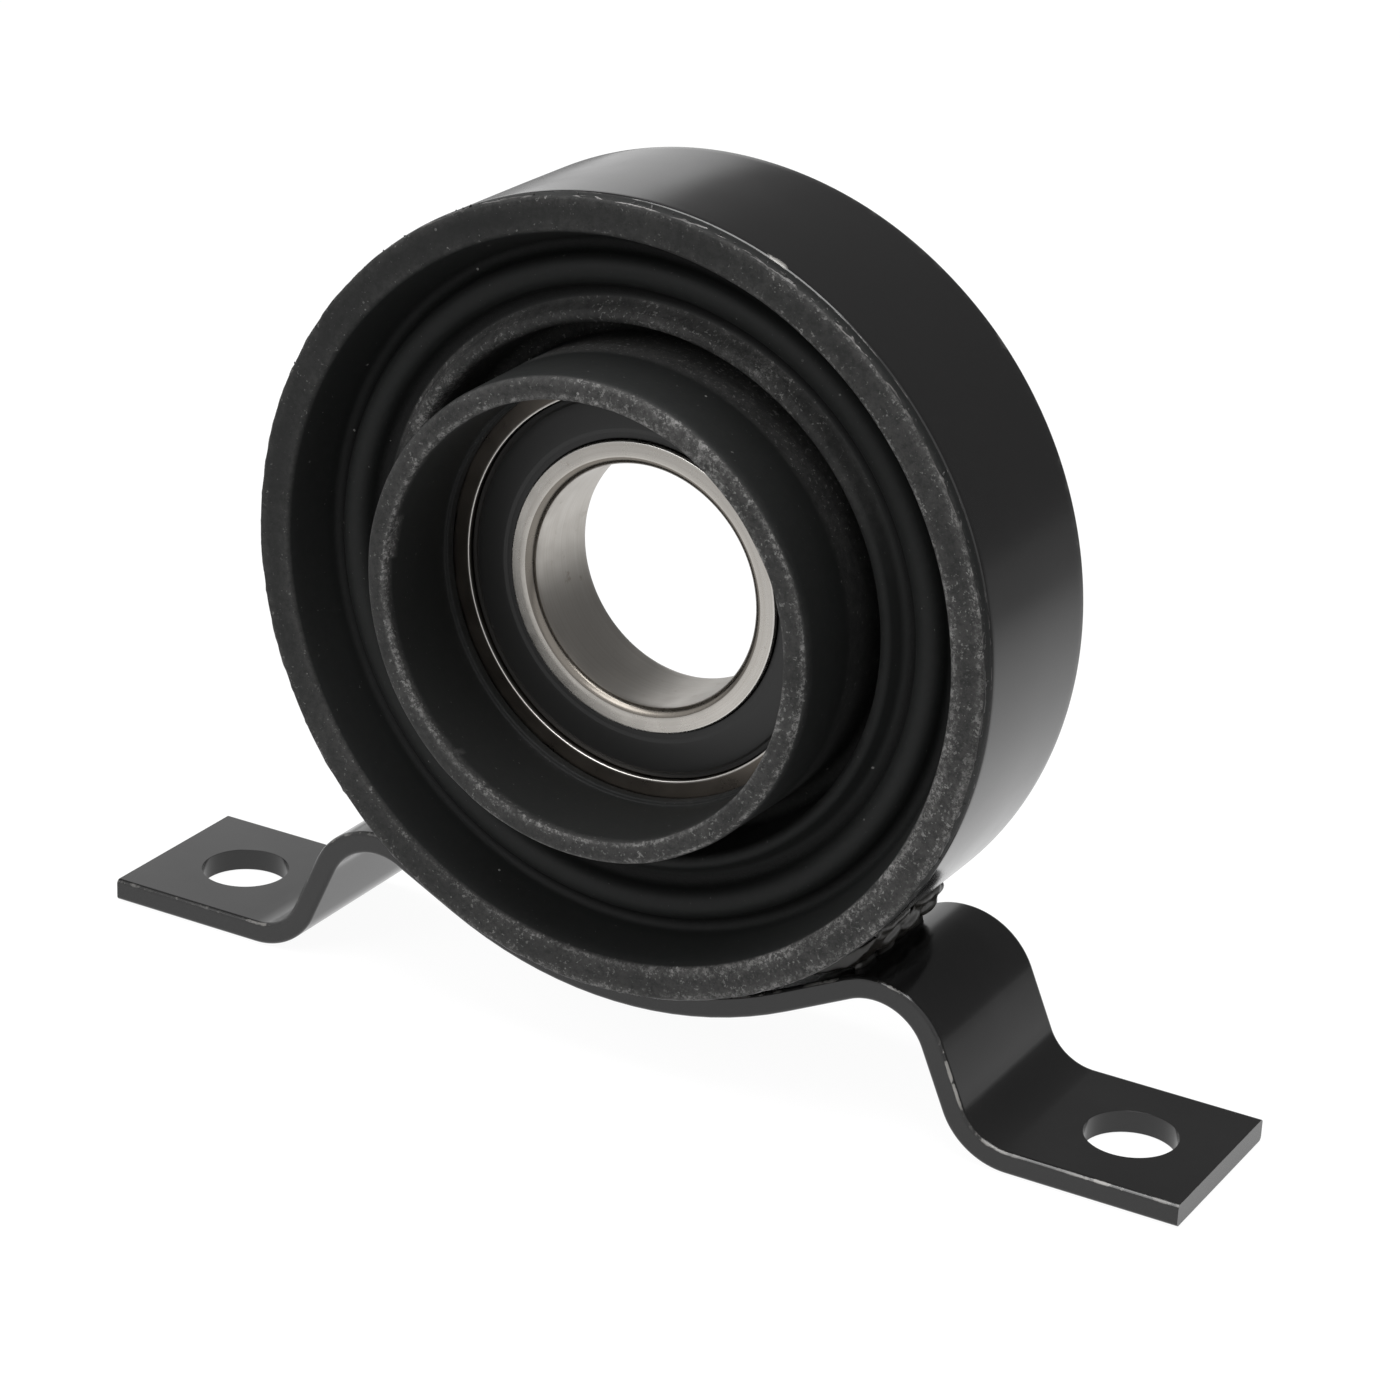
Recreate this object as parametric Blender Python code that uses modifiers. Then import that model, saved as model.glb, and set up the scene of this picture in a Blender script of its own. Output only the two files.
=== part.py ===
"""Driveshaft centre bearing: a sealed ball bearing in a rubber cushion, in a steel can welded on a bent strap.

Metres, +Z up. The feet stand on z = 0, the shaft axis runs along Y at AXIS_Z, and -Y is the front.
Depths are measured backwards from the plane of the front rim, which lies at y = RIM_Y.
Sizes build outwards from the shaft: races, rubber cushion, can, strap.
Turned pieces are drawn as (radius, depth) outlines and hang on empties whose local Z is that depth.
"""

import math

import bmesh
import bpy
from mathutils import Matrix, Vector

MM = 0.001
GAP = 0.3 * MM  # left between two pieces that touch on the real object

# Fineness of round forms
ROUND_STEPS = 36  # the same for every turned piece, so that facets face each other
FILLET_STEP = math.radians(48)
SMALL_FILLET = 0.7 * MM  # a smaller one is a plain chamfer
BEND_STEP = math.radians(11)
MERGE = 0.01 * MM
SHARP_ANGLE = math.radians(33)

# Ball bearing, a common 30 x 55 x 13 mm size, from the bore outwards
BORE_R = 15.0 * MM
INNER_RACE_WALL = 2.378 * MM  # under the ball groove
OUTER_RACE_WALL = 2.378 * MM
BALL_R = 3.572 * MM
BALL_COUNT = 11
INNER_SHOULDER = 1.722 * MM  # height of the shoulder over the bottom of the ball groove
OUTER_SHOULDER = 1.822 * MM
INNER_LAND_DROP = 1.05 * MM  # from the shoulder to the seal's land
OUTER_LAND_DROP = 0.7 * MM
LAND_WIDTH = 2.1 * MM
BEARING_EDGE_R = 0.9 * MM
LAND_EDGE_R = 0.2 * MM
RACEWAY_STEPS = 2

# Seals
SEAL_RECESS = 0.5 * MM  # from the bearing's face
SEAL_THICKNESS = 1.3 * MM
SEAL_RIM_STEP = 0.3 * MM
SEAL_RIM_WIDTH = 0.8 * MM
SEAL_TO_CAGE = 0.328 * MM

# Ball cage, two pressed halves riveted between the balls
CAGE_SHEET = 0.5 * MM
CAGE_CLEARANCE = 0.45 * MM  # to the shoulders of both races
POCKET_STEPS = 3
RIVET_R = 0.45 * MM
RIVET_HEAD_R = 1.05 * MM
RIVET_HEAD_HEIGHT = 0.5 * MM
RIVET_STEPS = 6
BALL_STEPS = 12
BALL_RINGS = 6

# Rubber cushion, front side, from the bearing outwards
BEARING_FRONT = 8.3 * MM
COLLAR_FRONT = -5.8 * MM
COLLAR_WALL = 2.85 * MM
COLLAR_DRAFT = 0.4 * MM
SEAT_WALL = 2.1 * MM  # rubber round the bearing, at the deep groove
SEAT_LIP_STEP = 0.55 * MM  # how far the seat's lips stand in from the collar
SEAT_LIP_THICKNESS = 1.1 * MM
GROOVE_WIDTH = 2.2 * MM
GROOVE_DEPTH = 14.6 * MM
GROOVE_DRAFT = 0.8 * MM
LEDGE_WIDTH = 3.3 * MM
LEDGE_DEPTH = 3.6 * MM
STEP_DEPTH = 9.5 * MM
CREST_OFFSET = 2.7 * MM  # from the step to the crest
CREST_CORNER = 0.7 * MM  # depth of the crest's corner before it is rounded
CREST_FILLET = 1.8 * MM
VALLEY_OFFSET = 3.0 * MM  # from the crest to the valley
VALLEY_DEPTH = 9.7 * MM
VALLEY_FILLET = 1.3 * MM
WALL_SPREAD = 2.8 * MM  # from the valley to the lip
LIP_WIDTH = 4.3 * MM
LIP_SIDE = 1.0 * MM

# Rubber cushion, rear side
HUB_WALL = 3.5 * MM
HUB_LIP = 2.0 * MM  # behind the bearing
WEB_THICKNESS = 3.4 * MM  # behind the deep groove
WEB_WALL = 2.9 * MM
WEB_FILLET = 1.4 * MM
ARCH_DRAFT = 2.6 * MM
ARCH_WIDTH = 4.6 * MM
ARCH_THICKNESS = 3.1 * MM
ARCH_FILLET = 1.4 * MM
SLEEVE_WALL = 2.5 * MM
SLEEVE_RECESS = 1.1 * MM  # inside the can's rear edge

# Steel can
CAN_WALL = 2.2 * MM
CAN_LENGTH = 25.1 * MM
CAN_EDGE_R = 0.5 * MM

# Mounting strap
STRAP_THICKNESS = 2.9 * MM
STRAP_WIDTH = 25.0 * MM
STRAP_FRONT = 5.6 * MM
STRAP_EDGE_R = 0.5 * MM
CRADLE_CLEARANCE = 1.5 * MM
CRADLE_LIFT = 6.9 * MM  # of the cradle's lowest point above the feet's undersides
CRADLE_ANGLE = math.radians(26.3)  # from straight down to where the strap leaves the can
SHOULDER_LENGTH = 9.2 * MM  # the straight between cradle and hump
HUMP_R = 8.6 * MM  # of the centre line, as FOOT_BEND_R is
SLOPE_ANGLE = math.radians(66)
FOOT_BEND_R = 8.0 * MM
FOOT_LENGTH = 22.0 * MM  # of its flat
BOLT_HOLE_INSET = 11.6 * MM
BOLT_HOLE_R = 5.7 * MM
BOLT_HOLE_STEPS = 32

# Weld beads, in the crevice between can and strap
WELD_FRONT_MARGIN = 2.0 * MM  # behind the strap's front edge
WELD_REAR_MARGIN = 1.4 * MM  # before the can's rear edge
WELD_SECTIONS = 11
WELD_ROOT = 0.45  # share of the strap's straight that stays free of weld
WELD_HEEL_ANGLE = math.radians(-20)  # where the bead ends on the hump, from straight up
WELD_TOE_LEAD = math.radians(7)  # how much further round the can the bead ends than on the strap
WELD_BULGE = 0.7 * MM
WELD_RIPPLE = 0.28
WELD_END_TAPER = 0.45

# Looks: colour, metallic, roughness
BLACK_PAINT = ((0.021, 0.021, 0.022), 0.0, 0.34)
BLACK_RUBBER = ((0.030, 0.030, 0.030), 0.0, 0.78)
SEAL_RUBBER = ((0.026, 0.025, 0.024), 0.0, 0.55)
WELD_METAL = ((0.018, 0.018, 0.018), 0.2, 0.30)
GROUND_STEEL = ((0.56, 0.53, 0.49), 1.0, 0.26)
BALL_STEEL = ((0.66, 0.66, 0.67), 1.0, 0.12)
CAGE_STEEL = ((0.42, 0.41, 0.40), 1.0, 0.38)

# Radii and depths that follow from the sizes above
RACEWAY_R = BALL_R + GAP
PITCH_R = BORE_R + INNER_RACE_WALL + RACEWAY_R
BEARING_OUTER_R = PITCH_R + RACEWAY_R + OUTER_RACE_WALL
BEARING_WIDTH = 2 * (RACEWAY_R + CAGE_SHEET + SEAL_TO_CAGE + SEAL_THICKNESS + SEAL_RECESS)
BEARING_CENTRE = BEARING_FRONT + BEARING_WIDTH / 2
INNER_SHOULDER_R = PITCH_R - RACEWAY_R + INNER_SHOULDER
OUTER_SHOULDER_R = PITCH_R + RACEWAY_R - OUTER_SHOULDER
INNER_LAND_R = INNER_SHOULDER_R - INNER_LAND_DROP
OUTER_LAND_R = OUTER_SHOULDER_R + OUTER_LAND_DROP
BALL_SPACING = 2 * math.pi / BALL_COUNT
SEAT_R = BEARING_OUTER_R + GAP
GROOVE_INNER_R = SEAT_R + SEAT_WALL
COLLAR_OUTER_R = GROOVE_INNER_R - COLLAR_DRAFT
COLLAR_INNER_R = COLLAR_OUTER_R - COLLAR_WALL
SEAT_LIP_R = COLLAR_INNER_R - SEAT_LIP_STEP
GROOVE_OUTER_R = GROOVE_INNER_R + GROOVE_WIDTH
LEDGE_R = GROOVE_OUTER_R + GROOVE_DRAFT
STEP_R = LEDGE_R + LEDGE_WIDTH
CREST_R = STEP_R + CREST_OFFSET
VALLEY_R = CREST_R + VALLEY_OFFSET
LIP_INNER_R = VALLEY_R + WALL_SPREAD
CAN_OUTER_R = LIP_INNER_R + LIP_WIDTH
CAN_FRONT = LIP_SIDE + GAP
CAN_REAR = CAN_FRONT + CAN_LENGTH
SLEEVE_OUTER_R = CAN_OUTER_R - CAN_WALL - GAP

# The frame: the origin is at the middle of the whole part's depth, under the shaft axis
RIM_Y = -(COLLAR_FRONT + STRAP_FRONT + STRAP_WIDTH) / 2
AXIS_Z = CAN_OUTER_R + CRADLE_CLEARANCE + STRAP_THICKNESS + CRADLE_LIFT
STRAP_MIDDLE_Y = RIM_Y + STRAP_FRONT + STRAP_WIDTH / 2


# Shared helpers


def clear_scene():
    for obj in list(bpy.data.objects):
        bpy.data.objects.remove(obj)


def new_collection(name):
    collection = bpy.data.collections.new(name)
    bpy.context.scene.collection.children.link(collection)
    return collection


def principled(name, look):
    colour, metallic, roughness = look
    material = bpy.data.materials.new(name)
    material.use_nodes = True
    shader = material.node_tree.nodes["Principled BSDF"]
    shader.inputs["Base Color"].default_value = (*colour, 1)
    shader.inputs["Metallic"].default_value = metallic
    shader.inputs["Roughness"].default_value = roughness
    return material


def add_object(name, bm, collection, parent=None, location=(0, 0, 0)):
    mesh = bpy.data.meshes.new(name)
    bm.to_mesh(mesh)
    bm.free()
    obj = bpy.data.objects.new(name, mesh)
    obj.parent = parent
    obj.location = location
    collection.objects.link(obj)
    return obj


def add_axis(name, collection, parent=None, location=(0, 0, 0), rotation=(0, 0, 0)):
    axis = bpy.data.objects.new(name, None)
    axis.parent = parent
    axis.location = location
    axis.rotation_euler = rotation
    collection.objects.link(axis)
    return axis


def modifier(obj, kind, **settings):
    added = obj.modifiers.new(kind.lower(), kind)
    for name, value in settings.items():
        setattr(added, name, value)
    return added


def drill(obj, cutter):
    """Cuts a hidden cutter out of the object."""
    cutter.hide_render = True
    cutter.display_type = "WIRE"
    modifier(obj, "BOOLEAN", operation="DIFFERENCE", solver="EXACT", object=cutter)


def finish(obj, look):
    """Applies the modifiers, so that sharp edges can be marked on the finished faces, and gives the look."""
    graph = bpy.context.evaluated_depsgraph_get()
    obj.data = bpy.data.meshes.new_from_object(obj.evaluated_get(graph))
    obj.modifiers.clear()
    obj.data.name = obj.name
    obj.data.shade_smooth()
    obj.data.set_sharp_from_angle(angle=SHARP_ANGLE)
    obj.data.materials.append(principled(obj.name, look))
    return obj


def filleted(corners):
    """Rounds the corners of a closed outline given as (radius, depth, fillet radius)."""
    outline = []
    for i, (r, depth, fillet) in enumerate(corners):
        corner = Vector((r, depth))
        if fillet <= 0:
            outline.append(corner)
            continue
        before = (Vector(corners[i - 1][:2]) - corner).normalized()
        after = (Vector(corners[(i + 1) % len(corners)][:2]) - corner).normalized()
        half = before.angle(after) / 2
        centre = corner + (before + after).normalized() * fillet / math.sin(half)
        start = corner + before * fillet / math.tan(half) - centre
        turn = start.angle_signed(corner + after * fillet / math.tan(half) - centre)
        steps = 1 if fillet < SMALL_FILLET else max(1, round(abs(turn) / FILLET_STEP))
        for k in range(steps + 1):
            outline.append(centre + Matrix.Rotation(-turn * k / steps, 2) @ start)
    return outline


def turned(name, outline, look, collection, parent, location=(0, 0, 0), steps=ROUND_STEPS):
    """Turns a (radius, depth) outline round local Z. An outline that ends on the axis stays open there."""
    area = sum(a[0] * b[1] - b[0] * a[1] for a, b in zip(outline, [*outline[1:], outline[0]], strict=True))
    if area > 0:
        outline = outline[::-1]  # a Screw faces outwards when the outer side runs down
    bm = bmesh.new()
    points = [bm.verts.new((r, 0, depth)) for r, depth in outline]
    for a, b in zip(points, points[1:], strict=False):
        bm.edges.new((a, b))
    if outline[0][0] > MERGE:
        bm.edges.new((points[-1], points[0]))
    obj = add_object(name, bm, collection, parent, location)
    modifier(
        obj, "SCREW", axis="Z", angle=2 * math.pi, steps=steps, render_steps=steps,
        use_merge_vertices=True, merge_threshold=MERGE, use_smooth_shade=True,
    )
    return finish(obj, look)


def cylinder_mesh(radius, length, steps, matrices):
    bm = bmesh.new()
    for matrix in matrices:
        bmesh.ops.create_cone(
            bm, cap_ends=True, segments=steps, radius1=radius, radius2=radius, depth=length, matrix=matrix
        )
    return bm


# Steel can and strap


def outer_can(collection, shaft_axis):
    inner_r = CAN_OUTER_R - CAN_WALL
    corners = [
        (inner_r, CAN_FRONT, 0),
        (CAN_OUTER_R, CAN_FRONT, CAN_EDGE_R),
        (CAN_OUTER_R, CAN_REAR, CAN_EDGE_R),
        (inner_r, CAN_REAR, CAN_EDGE_R),
    ]
    turned("outer_can", filleted(corners), BLACK_PAINT, collection, shaft_axis)


def arc_stations(centre, radius, start, end, side):
    """Centre line points with upward normals. Angles are from the vertical; side is 1 over a bend, -1 under it."""
    steps = max(2, math.ceil(abs(end - start) / BEND_STEP))
    found = []
    for k in range(steps + 1):
        angle = start + (end - start) * k / steps
        up = Vector((math.sin(angle), math.cos(angle)))
        found.append((centre + side * radius * up, up))
    return found


def strap_half():
    """The strap's centre line from the lowest point of the cradle to the right foot's end, as (point, normal)."""
    cradle_r = CAN_OUTER_R + CRADLE_CLEARANCE + STRAP_THICKNESS / 2
    axis = Vector((0, AXIS_Z))
    outward = Vector((math.sin(CRADLE_ANGLE), -math.cos(CRADLE_ANGLE)))
    along = Vector((math.cos(CRADLE_ANGLE), math.sin(CRADLE_ANGLE)))
    hump = axis + (cradle_r + HUMP_R) * outward + SHOULDER_LENGTH * along
    foot_z = STRAP_THICKNESS / 2
    slope_top = hump + HUMP_R * Vector((math.sin(SLOPE_ANGLE), math.cos(SLOPE_ANGLE)))
    drop = slope_top.y - (foot_z + FOOT_BEND_R * (1 - math.cos(SLOPE_ANGLE)))
    bend_x = slope_top.x + drop / math.tan(SLOPE_ANGLE) + FOOT_BEND_R * math.sin(SLOPE_ANGLE)
    bend = Vector((bend_x, foot_z + FOOT_BEND_R))
    stations = arc_stations(axis, cradle_r, 0, -CRADLE_ANGLE, -1)
    stations += arc_stations(hump, HUMP_R, -CRADLE_ANGLE, SLOPE_ANGLE, 1)
    stations += arc_stations(bend, FOOT_BEND_R, SLOPE_ANGLE, 0, -1)
    stations.append((Vector((bend_x + FOOT_LENGTH, foot_z)), Vector((0, 1))))
    return stations


def mounting_strap(collection, cutters):
    """Half of the strip's middle surface, mirrored, thickened, its edges rounded and its feet drilled."""
    bm = bmesh.new()
    line = [bm.verts.new((p.x, -STRAP_WIDTH / 2, p.y)) for p, _ in strap_half()]
    edges = [bm.edges.new(pair) for pair in zip(line, line[1:], strict=False)]
    swept = bmesh.ops.extrude_edge_only(bm, edges=edges)["geom"]
    moved = [v for v in swept if isinstance(v, bmesh.types.BMVert)]
    bmesh.ops.translate(bm, verts=moved, vec=(0, STRAP_WIDTH, 0))
    strap = add_object("mounting_strap", bm, collection, location=(0, STRAP_MIDDLE_Y, 0))
    modifier(strap, "MIRROR", merge_threshold=MERGE)
    modifier(strap, "SOLIDIFY", thickness=STRAP_THICKNESS, offset=0, use_even_offset=True)
    modifier(strap, "BEVEL", width=STRAP_EDGE_R, segments=2, limit_method="ANGLE", angle_limit=math.radians(50))
    hole_x = strap_half()[-1][0].x - BOLT_HOLE_INSET
    places = [Matrix.Translation((x, 0, STRAP_THICKNESS / 2)) for x in (hole_x, -hole_x)]
    holes = cylinder_mesh(BOLT_HOLE_R, 3 * STRAP_THICKNESS, BOLT_HOLE_STEPS, places)
    drill(strap, add_object("bolt_holes", holes, cutters, location=(0, STRAP_MIDDLE_Y, 0)))
    finish(strap, BLACK_PAINT)


def weld_outline(bulge):
    """Section of the right bead: round the can, over the free surface, then back along the strap."""
    axis = Vector((0, AXIS_Z))
    stations = strap_half()
    leave = next(i for i, (_, up) in enumerate(stations) if up.x < -math.sin(CRADLE_ANGLE) + MERGE)
    hump = [(p, up) for p, up in stations[leave + 1 :] if p.x < stations[leave + 1][0].x + 2 * HUMP_R]
    over = [(p, up) for p, up in hump if up.x < math.sin(WELD_HEEL_ANGLE)]
    over.insert(0, (stations[leave][0].lerp(over[0][0], WELD_ROOT), over[0][1]))
    on_strap = [p + up * (STRAP_THICKNESS / 2 + GAP) for p, up in over]
    root, heel = (point - axis for point in (on_strap[0], on_strap[-1]))
    root_angle = math.atan2(root.x, -root.y)
    steps = 4
    spread = (math.atan2(heel.x, -heel.y) + WELD_TOE_LEAD - root_angle) / steps
    can_r = (CAN_OUTER_R + GAP) / math.cos(spread / 2)  # so that the flats between the points keep the gap too
    angles = [root_angle + spread * k for k in range(steps + 1)]
    outline = [axis + can_r * Vector((math.sin(a), -math.cos(a))) for a in angles]
    toe, heel = outline[-1], on_strap[-1]
    outward = (heel - toe).orthogonal().normalized()
    outward = outward if outward.x > 0 else -outward
    for along, swell in ((0.12, 0.75), (0.42, 1.0), (0.75, 0.8)):
        outline.append(toe.lerp(heel, along) + outward * WELD_BULGE * bulge * swell)
    return outline + on_strap[::-1]


def weld_bead(name, side, phase, collection):
    """A lumpy bead lofted between unlike sections. side is 1 for the right one and -1 for the left one."""
    bm = bmesh.new()
    rows = []
    start, end = STRAP_FRONT + WELD_FRONT_MARGIN, CAN_REAR - WELD_REAR_MARGIN
    for k in range(WELD_SECTIONS):
        along = k / (WELD_SECTIONS - 1)
        depth = start + (end - start) * along
        lump = math.sin(phase + 4.7 * along * math.pi) + 0.6 * math.sin(2 * phase + 9.1 * along * math.pi)
        taper = WELD_END_TAPER if k in (0, WELD_SECTIONS - 1) else 1.0
        outline = weld_outline((1 + WELD_RIPPLE * lump) * taper)
        rows.append([bm.verts.new((side * point.x, depth, point.y)) for point in outline])
    for here, there in zip(rows, rows[1:], strict=False):
        for k in range(len(here)):
            bm.faces.new((here[k - 1], here[k], there[k], there[k - 1]))
    bm.faces.new(rows[0])
    bm.faces.new(rows[-1])
    bmesh.ops.recalc_face_normals(bm, faces=bm.faces)
    finish(add_object(name, bm, collection, location=(0, RIM_Y, 0)), WELD_METAL)


# Rubber cushion


def rubber_cushion(collection, shaft_axis):
    seat_front = BEARING_FRONT - GAP
    seat_rear = BEARING_FRONT + BEARING_WIDTH + GAP
    lip_front = seat_front - SEAT_LIP_THICKNESS
    front = [
        (CAN_OUTER_R, LIP_SIDE, 0),
        (CAN_OUTER_R, 0, 0.6 * MM),
        (LIP_INNER_R, 0, 0.5 * MM),
        (VALLEY_R, VALLEY_DEPTH, VALLEY_FILLET),
        (CREST_R, CREST_CORNER, CREST_FILLET),
        (STEP_R, STEP_DEPTH, 0.7 * MM),
        (LEDGE_R, LEDGE_DEPTH, 0.3 * MM),
        (GROOVE_OUTER_R, GROOVE_DEPTH, GROOVE_WIDTH * 0.45),
        (GROOVE_INNER_R, GROOVE_DEPTH, GROOVE_WIDTH * 0.45),
        (COLLAR_OUTER_R, COLLAR_FRONT, 0.6 * MM),
        (COLLAR_INNER_R, COLLAR_FRONT, 0.5 * MM),
        (COLLAR_INNER_R, lip_front, 0),
        (SEAT_LIP_R, lip_front, SEAT_LIP_STEP * 0.7),
        (SEAT_LIP_R, seat_front, 0),
    ]
    web_back = GROOVE_DEPTH + WEB_THICKNESS
    web_outer_r = GROOVE_OUTER_R + WEB_WALL
    arch_back = VALLEY_DEPTH + ARCH_THICKNESS
    hub_r, hub_rear = SEAT_R + HUB_WALL, seat_rear + HUB_LIP
    sleeve_rear = CAN_REAR - SLEEVE_RECESS
    rear = [
        (SEAT_R, seat_front, 0),
        (SEAT_R, seat_rear, 0),
        (SEAT_LIP_R, seat_rear, 0),
        (SEAT_LIP_R, hub_rear, 0.5 * MM),
        (hub_r, hub_rear, 0.8 * MM),
        (hub_r, web_back, 0.9 * MM),
        (web_outer_r, web_back, WEB_FILLET),
        (web_outer_r + ARCH_DRAFT, arch_back, ARCH_FILLET),
        (web_outer_r + ARCH_DRAFT + ARCH_WIDTH, arch_back, ARCH_FILLET),
        (SLEEVE_OUTER_R - SLEEVE_WALL, sleeve_rear, 0.5 * MM),
        (SLEEVE_OUTER_R, sleeve_rear, 0),
        (SLEEVE_OUTER_R, LIP_SIDE, 0),
    ]
    turned("rubber_cushion", filleted(front + rear), BLACK_RUBBER, collection, shaft_axis)


# Ball bearing, drawn round its own centre


def raceway(shoulder_r, side):
    """The ball groove's arc from its bottom to the rear shoulder. side is 1 for the outer race, -1 for the inner."""
    reach = math.acos(side * (shoulder_r - PITCH_R) / RACEWAY_R)
    angles = [reach * (k + 0.5) / (RACEWAY_STEPS + 0.5) for k in range(RACEWAY_STEPS + 1)]
    return [(PITCH_R + side * RACEWAY_R * math.cos(a), RACEWAY_R * math.sin(a), 0) for a in angles]


def race(name, plain_r, land_r, shoulder_r, side, collection, axis):
    """Half of the ring's section, from the ball groove to its plain side, closed with its mirror image."""
    face = BEARING_WIDTH / 2
    half = raceway(shoulder_r, side) + [
        (shoulder_r, face - LAND_WIDTH, 0),
        (land_r, face - LAND_WIDTH, 0),
        (land_r, face, LAND_EDGE_R),
        (plain_r, face, BEARING_EDGE_R),
    ]
    front = [(r, -depth, fillet) for r, depth, fillet in reversed(half)]
    turned(name, filleted(half + front), GROUND_STEEL, collection, axis)


def seal(name, side, collection, axis):
    """A moulded ring with a thin rim and a lip on the inner race. side is -1 for the front one, 1 for the rear."""
    face = BEARING_WIDTH / 2 - SEAL_RECESS
    back = face - SEAL_THICKNESS
    inner_r, outer_r = INNER_LAND_R + GAP, OUTER_LAND_R - GAP
    lip_r = INNER_SHOULDER_R + GAP
    corners = [
        (outer_r, face - SEAL_RIM_STEP, 0.15 * MM),
        (outer_r - SEAL_RIM_WIDTH, face, 0.2 * MM),
        (lip_r, face, 0.3 * MM),
        (inner_r, face - SEAL_RIM_STEP, 0),
        (inner_r, back + SEAL_RIM_STEP, 0),
        (lip_r, back, 0),
        (outer_r, back, 0),
    ]
    outline = [(r, side * depth) for r, depth in filleted(corners)]
    turned(name, outline, SEAL_RUBBER, collection, axis)


def pocket_line():
    """Middle line of one pitch of the pressed strip, from one rivet to the next, as (arc length, depth)."""
    middle_r = RACEWAY_R + CAGE_SHEET / 2
    flat = (GAP + CAGE_SHEET) / 2
    reach = math.acos(flat / middle_r)
    turns = [reach * k / POCKET_STEPS for k in range(-POCKET_STEPS, POCKET_STEPS + 1)]
    return [(-BALL_SPACING * PITCH_R / 2, flat)] + [(middle_r * math.sin(t), middle_r * math.cos(t)) for t in turns]


def cage_half(name, side, collection, cutters, axis):
    """A wavy strip of sheet round the balls. side is -1 for the front half and 1 for the rear half."""
    bm = bmesh.new()
    rows = []
    for ball in range(BALL_COUNT):
        for length, depth in pocket_line():
            turn = ball * BALL_SPACING + length / PITCH_R
            reach = (INNER_SHOULDER_R + CAGE_CLEARANCE, OUTER_SHOULDER_R - CAGE_CLEARANCE)
            rows.append([bm.verts.new((r * math.cos(turn), r * math.sin(turn), side * depth)) for r in reach])
    for here, there in zip(rows, [*rows[1:], rows[0]], strict=True):
        bm.faces.new((here[0], here[1], there[1], there[0]))
    half = add_object(name, bm, collection, axis)
    modifier(half, "SOLIDIFY", thickness=CAGE_SHEET, offset=0, use_even_offset=True, use_quality_normals=True)
    places = [Matrix.Translation(rivet_place(ball)) for ball in range(BALL_COUNT)]
    holes = cylinder_mesh(RIVET_R + GAP, 2 * RACEWAY_R, RIVET_STEPS, places)
    drill(half, add_object(name + "_rivet_holes", holes, cutters, axis))
    finish(half, CAGE_STEEL)


def ball_place(ball):
    turn = ball * BALL_SPACING
    return Vector((PITCH_R * math.cos(turn), PITCH_R * math.sin(turn), 0))


def rivet_place(ball):
    turn = (ball + 0.5) * BALL_SPACING
    return Vector((PITCH_R * math.cos(turn), PITCH_R * math.sin(turn), 0))


def balls(collection, axis):
    for ball in range(BALL_COUNT):
        bm = bmesh.new()
        bmesh.ops.create_uvsphere(bm, u_segments=BALL_STEPS, v_segments=BALL_RINGS, radius=BALL_R)
        finish(add_object(f"ball_{ball + 1:02d}", bm, collection, axis, ball_place(ball)), BALL_STEEL)


def rivets(collection, axis):
    seat = GAP / 2 + CAGE_SHEET + GAP
    top = seat + RIVET_HEAD_HEIGHT
    half = [(RIVET_R, seat), (RIVET_HEAD_R, seat), (0.7 * RIVET_HEAD_R, top), (0, top)]
    outline = [(r, -depth) for r, depth in reversed(half)] + half
    for ball in range(BALL_COUNT):
        name = f"rivet_{ball + 1:02d}"
        turned(name, outline, CAGE_STEEL, collection, axis, rivet_place(ball), RIVET_STEPS)


def ball_bearing(collection, cutters, shaft_axis):
    axis = add_axis("bearing_axis", collection, shaft_axis, (0, 0, BEARING_CENTRE))
    cage_axis = add_axis("cage_axis", collection, axis)
    race("outer_race", BEARING_OUTER_R, OUTER_LAND_R, OUTER_SHOULDER_R, 1, collection, axis)
    race("inner_race", BORE_R, INNER_LAND_R, INNER_SHOULDER_R, -1, collection, axis)
    seal("front_seal", -1, collection, axis)
    seal("rear_seal", 1, collection, axis)
    cage_half("cage_front", -1, collection, cutters, cage_axis)
    cage_half("cage_rear", 1, collection, cutters, cage_axis)
    balls(collection, cage_axis)
    rivets(collection, cage_axis)


def main():
    clear_scene()
    collection = new_collection("centre_bearing")
    cutters = new_collection("cutters")
    shaft_axis = add_axis("shaft_axis", collection, location=(0, RIM_Y, AXIS_Z), rotation=(-math.pi / 2, 0, 0))
    mounting_strap(collection, cutters)
    outer_can(collection, shaft_axis)
    weld_bead("weld_bead_right", 1, 0.4, collection)
    weld_bead("weld_bead_left", -1, 2.1, collection)
    rubber_cushion(collection, shaft_axis)
    ball_bearing(collection, cutters, shaft_axis)


main()
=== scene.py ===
"""Looks of the driveshaft centre bearing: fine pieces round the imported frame, in a white studio.

Lengths are in millimetres in the outlines and become metres when a mesh is made. Depths run backwards
from the plane of the cushion's front rim, and outlines are (radius, depth) round the shaft axis.
"""

import math

import bmesh
import bpy
from mathutils import Matrix, Vector, noise

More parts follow.
